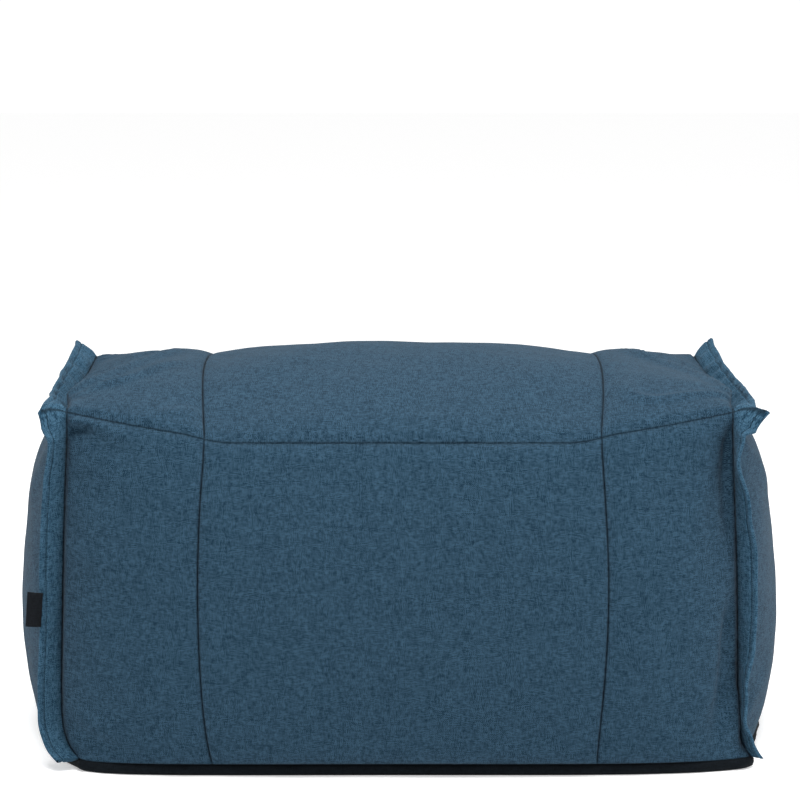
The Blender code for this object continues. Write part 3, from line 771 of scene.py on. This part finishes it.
def flange_half(shares):
    """Half thickness across the flange: thin at the root, a soft welt, an edge seam and a thin rim."""
    half = mix(FLANGE_ROOT_HALF, FLANGE_HALF, ease(shares / 0.3))
    half = half - EDGE_SEAM_DEPTH * bell(shares - EDGE_SEAM_SHARE, 0.035)
    return half * np.where(shares > EDGE_SEAM_SHARE, 0.8, 1.0)


def ear_seam_shade(places, columns):
    """Painted shade of the top seam's groove where it runs on, out along each ear."""
    run = flange_run(places)
    from_ear = np.minimum(np.abs(run - flange_run(1.0)), np.abs(run - flange_run(2.0)))
    return bell(from_ear, EAR_SHADE_HALF)[:, None] * (np.arange(columns) < EAR_SHADE_COLUMNS)


def build_flange(name, side, material):
    """A doubled strip: two sides and a turned edge, closed into a thin loop along the whole seam."""
    _, rise, along = face_lines()
    places = flange_places(*[refine(lines) for lines in (rise, along)])
    shares = np.concatenate([np.linspace(0, 0.72, 9), np.linspace(0.76, 0.98, 9)])
    middle = flange_middle(side, places, shares)
    normals = surface_normals(middle)
    _, outward = flange_seam(side, places)
    facing = np.sign(np.sum(normals * (outward - np.array([side, 0, 0]))[:, None]))
    normals *= facing
    middle += normals * flange_waves(side, places, shares)[..., None]
    half = flange_half(shares)[None, :, None]
    face_side, end_side = middle + normals * half, middle - normals * half
    rim_out = middle[:, -1] - middle[:, -2]
    rim_out /= np.linalg.norm(rim_out, axis=1, keepdims=True)
    turn = [
        middle[:, -1] + (normals[:, -1] * np.cos(a) + rim_out * np.sin(a)) * half[0, -1]
        for a in np.radians([36, 72, 108, 144])
    ]
    loop = np.concatenate([face_side, np.stack(turn, 1), end_side[:, ::-1], face_side[:, :1]], 1)
    run = flange_run(places)[:, None] + np.zeros(loop.shape[1])
    around = np.concatenate([[0], np.cumsum(np.linalg.norm(np.diff(loop, axis=1), axis=2).mean(0))])
    cloth = ClothMesh()
    # Painted shade on the flange: full at its root against the body, 0.8 on the edge seam's column, and the
    # top seam's groove along the ears
    root = np.zeros(loop.shape[1])
    root[[0, -1, -2]] = 1.0
    root += 0.8 * (np.abs(np.arange(loop.shape[1]) - EDGE_SEAM_SHADE_COLUMN) < 1)
    root = np.maximum(root, ear_seam_shade(places, loop.shape[1]))
    uv = np.stack([run, around + 0 * run], -1)
    cloth.add(loop, uv, np.clip(root, 0, 1), loop - middle.mean(1, keepdims=True))
    # Each end of the flange is closed by a cap with a little painted shade (0.3)
    for end in (0, -1):
        cap = np.stack([face_side[end], end_side[end]])
        away = middle[end] - middle[1 if end == 0 else -2]
        cloth.add(cap, np.zeros(2), 0.3, away)
    return cloth.build(name, material)


# --- Base and tag -----------------------------------------------------------------------------------

def build_base(material):
    """A thin tray of cloth under the body, its rim turned up as far as the base seam."""
    across, _, along = face_lines()
    outline = base_outline(across, along)
    run = np.concatenate([[0], np.cumsum(np.linalg.norm(np.diff(outline, axis=0), axis=1))])
    turns = 2 * np.pi * run / run[-1]
    waves = 0.0005 * np.sin(turns * 97) * np.sin(turns * 11 + 1) + 0.0006 * np.sin(turns * 41 + 2)
    for x, y, width, height in BASE_FOLDS:
        waves += height * bell(np.hypot(outline[:, 0] - x, outline[:, 1] - y), width)
    rings = []
    for inset, height, wave in BASE_OUTER_RINGS + BASE_INNER_RINGS:
        rings.append(drawn_in(outline, inset - wave * waves[:, None], height))
    count = len(BASE_OUTER_RINGS)
    rings.insert(count, rings[count - 1] * (0, 0, 1))
    rings.insert(count + 1, rings[count + 1] * (0, 0, 1))
    grid = np.array(rings + rings[:1])
    up = np.arange(len(grid))[:, None] * 0.004
    uv = np.stack([run[None] + 0 * up, up + 0 * run[None]], -1)
    cloth = ClothMesh()
    cloth.add(grid[:4], uv[:4], 0.0, grid[:4] * (1, 1, 0))
    cloth.add(grid[3:7], uv[3:7], 0.0, (0, 0, -1))
    cloth.add(grid[7:], uv[7:], 0.0, (0, 0, 1))
    return cloth.build("base_cloth", material)


def build_tag(material):
    """A folded tape caught in the edge of the left flange, standing out to the side. It is bare."""
    place = np.array([(TAG_MIDDLE_HEIGHT - BASE_SEAM_HEIGHT) / (STRAIGHT_RISE + HALF_ARC)])
    edge = flange_middle(-1, place, np.array([0.0, 1.0]))[0, 1]
    out = np.linspace(-0.10, 1, 12)
    up = np.linspace(-0.5, 0.5, 12)
    rows = []
    for share in up:
        droop = 0.0012 * np.sin(np.pi * np.clip(out, 0, 1)) + 0.0010 * share * out
        x = edge[0] - 0.0006 - TAG_REACH * TAG_WIDTH * out + 0.0026 * share
        y = edge[1] - 0.0030 - 0.10 * TAG_WIDTH * out - droop
        z = edge[2] - 0.0012 + share * TAG_HEIGHT * (1 - 0.04 * out) + 0.0024 * out * (share > 0)
        rows.append(np.stack([x, y, z], -1))
    middle = np.array(rows)
    normals = surface_normals(middle)
    normals *= np.sign(normals[..., 1].sum()) * -1
    puff = TAG_HALF * np.where(out > 0.93, 0.8, 1.0)[None, :, None]
    front, back = middle + normals * puff, middle - normals * puff
    loop = np.concatenate([front, back[:, ::-1], front[:, :1]], 1)
    cloth = ClothMesh()
    uv = np.stack([loop[..., 0], loop[..., 2]], -1)
    cloth.add(loop, uv, 0.0, loop - middle.mean((0, 1)))
    for end, way in ((0, -1), (-1, 1)):
        cloth.add(np.stack([front[end], back[end]]), np.zeros(2), 0.0, (0, 0, way))
    return cloth.build("tag_tape", material)


# --- Materials --------------------------------------------------------------------------------------

def add_node(tree, kind, inputs=None, **settings):
    made = tree.nodes.new(kind)
    for name, value in settings.items():
        setattr(made, name, value)
    for key, value in (inputs or {}).items():
        if isinstance(value, bpy.types.NodeSocket):
            tree.links.new(value, made.inputs[key])
        else:
            made.inputs[key].default_value = value
    return made


def calculate(tree, operation, first, second=0.0, third=0.0):
    return add_node(tree, "ShaderNodeMath", {0: first, 1: second, 2: third}, operation=operation).outputs[0]


def thread_flecks(tree, across_thread, along_thread, offset):
    """The colour changes along each thread: every thread has its own row of flecks."""
    row = calculate(tree, "FLOOR", calculate(tree, "DIVIDE", across_thread, THREAD))
    row = calculate(tree, "MULTIPLY_ADD", row, ROW_STEP, offset)
    place = calculate(tree, "DIVIDE", along_thread, FLECK_LENGTH)
    spot = add_node(tree, "ShaderNodeCombineXYZ", {0: place, 1: row})
    noise = add_node(tree, "ShaderNodeTexNoise", {"Vector": spot.outputs[0], "Scale": 1.0, "Detail": 2.0})
    return noise.outputs[0]


def weave_material(name, dark, light, roughness, sheen, seam_painted_shade):
    """Plain weave of melange yarn. The map is in metres, so every thread is as thick on each panel."""
    material = bpy.data.materials.new(name)
    material.use_nodes = True
    tree = material.node_tree
    shader = tree.nodes["Principled BSDF"]
    weave_map = add_node(tree, "ShaderNodeUVMap", uv_map="Weave").outputs[0]
    split = add_node(tree, "ShaderNodeSeparateXYZ", {0: weave_map})
    u, v = split.outputs[0], split.outputs[1]
    weft = thread_flecks(tree, v, u, 0.0)
    warp = thread_flecks(tree, u, v, WARP_START)
    checks = calculate(
        tree, "ADD",
        calculate(tree, "FLOOR", calculate(tree, "DIVIDE", u, THREAD)),
        calculate(tree, "FLOOR", calculate(tree, "DIVIDE", v, THREAD)),
    )
    over = calculate(tree, "FLOORED_MODULO", checks, 2.0)
    fleck = add_node(tree, "ShaderNodeMix", {0: over, 2: weft, 3: warp}).outputs[0]
    low, high = FLECK_RANGE
    level = add_node(tree, "ShaderNodeMapRange", {0: fleck, 1: low, 2: high, 3: 0.0, 4: 1.0}).outputs[0]
    level = calculate(tree, "MULTIPLY_ADD", over, WARP_LIGHTNESS, level)
    colour = add_node(
        tree, "ShaderNodeMix", {0: level, 6: (*dark, 1), 7: (*light, 1)}, data_type="RGBA"
    ).outputs[2]
    # Painted shade: the colour is darkened where the seam attribute is set, for the shadow in seam grooves
    # and between parts
    seam = add_node(tree, "ShaderNodeAttribute", attribute_name="seam").outputs["Fac"]
    shade = calculate(tree, "MULTIPLY_ADD", seam, -seam_painted_shade, 1.0)
    shaded = add_node(tree, "ShaderNodeVectorMath", {0: colour, 3: shade}, operation="SCALE").outputs[0]
    tree.links.new(shaded, shader.inputs["Base Color"])
    relief = {"Height": fleck, "Strength": BUMP_STRENGTH, "Distance": BUMP_DISTANCE}
    bump = add_node(tree, "ShaderNodeBump", relief)
    tree.links.new(bump.outputs[0], shader.inputs["Normal"])
    shader.inputs["Roughness"].default_value = roughness
    shader.inputs["Sheen Weight"].default_value = sheen
    shader.inputs["Sheen Roughness"].default_value = SHEEN_ROUGHNESS
    shader.inputs["Specular IOR Level"].default_value = SPECULAR
    return material


# --- Studio -----------------------------------------------------------------------------------------

def build_floor():
    material = bpy.data.materials.new("floor_white")
    material.use_nodes = True
    shader = material.node_tree.nodes["Principled BSDF"]
    shader.inputs["Base Color"].default_value = (FLOOR_COLOUR, FLOOR_COLOUR, FLOOR_COLOUR, 1)
    shader.inputs["Emission Color"].default_value = (1, 1, 1, 1)
    shader.inputs["Emission Strength"].default_value = FLOOR_GLOW
    shader.inputs["Roughness"].default_value = 0.9
    shader.inputs["Specular IOR Level"].default_value = 0.0
    mesh = bpy.data.meshes.new("floor")
    half = FLOOR_HALF_SIZE
    corners = [(-half, -half, 0), (half, -half, 0), (half, half, 0), (-half, half, 0)]
    mesh.from_pydata(corners, [], [(0, 1, 2, 3)])
    mesh.materials.append(material)
    floor = bpy.data.objects.new("floor", mesh)
    floor.location.z = -0.0003
    bpy.context.scene.collection.objects.link(floor)


def add_softbox(name, location, target, size, power):
    light = bpy.data.lights.new(name, "AREA")
    light.shape = "RECTANGLE"
    light.size, light.size_y = size
    light.energy = power
    obj = bpy.data.objects.new(name, light)
    obj.location = location
    obj.rotation_euler = (Vector(target) - Vector(location)).to_track_quat("-Z", "Y").to_euler()
    bpy.context.scene.collection.objects.link(obj)


def build_studio():
    scene = bpy.context.scene
    world = bpy.data.worlds.new("studio_white")
    world.use_nodes = True
    background = world.node_tree.nodes["Background"]
    background.inputs["Color"].default_value = (1, 1, 1, 1)
    # The room is white behind the footstool and dimmer on the camera's side.
    tree = world.node_tree
    way = add_node(tree, "ShaderNodeTexCoord").outputs["Generated"]
    depth = add_node(tree, "ShaderNodeSeparateXYZ", {0: way}).outputs[1]
    change = {0: depth, 1: -0.6, 2: 0.2, 3: FRONT_STRENGTH, 4: WORLD_STRENGTH}
    strength = add_node(tree, "ShaderNodeMapRange", change)
    tree.links.new(strength.outputs[0], background.inputs["Strength"])
    scene.world = world
    for name, location, target, size, power in SOFTBOXES:
        add_softbox(name, location, target, size, power)
    scene.view_settings.view_transform = "Standard"
    scene.view_settings.look = "None"
    scene.view_settings.exposure = 0.0
    scene.view_settings.gamma = 1.0
    camera = bpy.data.cameras.new("front_camera")
    camera.lens = CAMERA_LENS
    camera.sensor_width = 36.0
    obj = bpy.data.objects.new("front_camera", camera)
    obj.location = CAMERA_PLACE
    obj.rotation_euler = (math.radians(90 - CAMERA_PITCH), 0, 0)
    scene.collection.objects.link(obj)
    scene.camera = obj


# --- The footstool ----------------------------------------------------------------------------------

def dress(piece, node):
    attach(piece, "root")
    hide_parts(node)


blue = weave_material("blue_weave", BLUE_DARK, BLUE_LIGHT, 0.95, 0.03, SEAM_PAINTED_SHADE)
# The flanges get the lightened copy of the body's cloth, as painted light
flange_blue_painted_lit = weave_material("flange_weave_painted_lit", FLANGE_PAINTED_LIT_DARK, FLANGE_PAINTED_LIT_LIGHT, 0.95, 0.02, SEAM_PAINTED_SHADE)
black = weave_material("base_weave", BASE_DARK, BASE_LIGHT, 0.9, 0.01, 0.0)
tape = weave_material("tape_weave", TAPE_DARK, TAPE_LIGHT, 0.8, 0.01, 0.0)

body = build_body(blue)
dress(body, "filled_body")
for flange_name, side in (("flange_left", -1), ("flange_right", 1)):
    flange = build_flange(flange_name + "_cloth", side, flange_blue_painted_lit)
    dress(flange, flange_name)
base = build_base(black)
dress(base, "base_panel")
tag = build_tag(tape)
dress(tag, "side_tag")

build_floor()
build_studio()
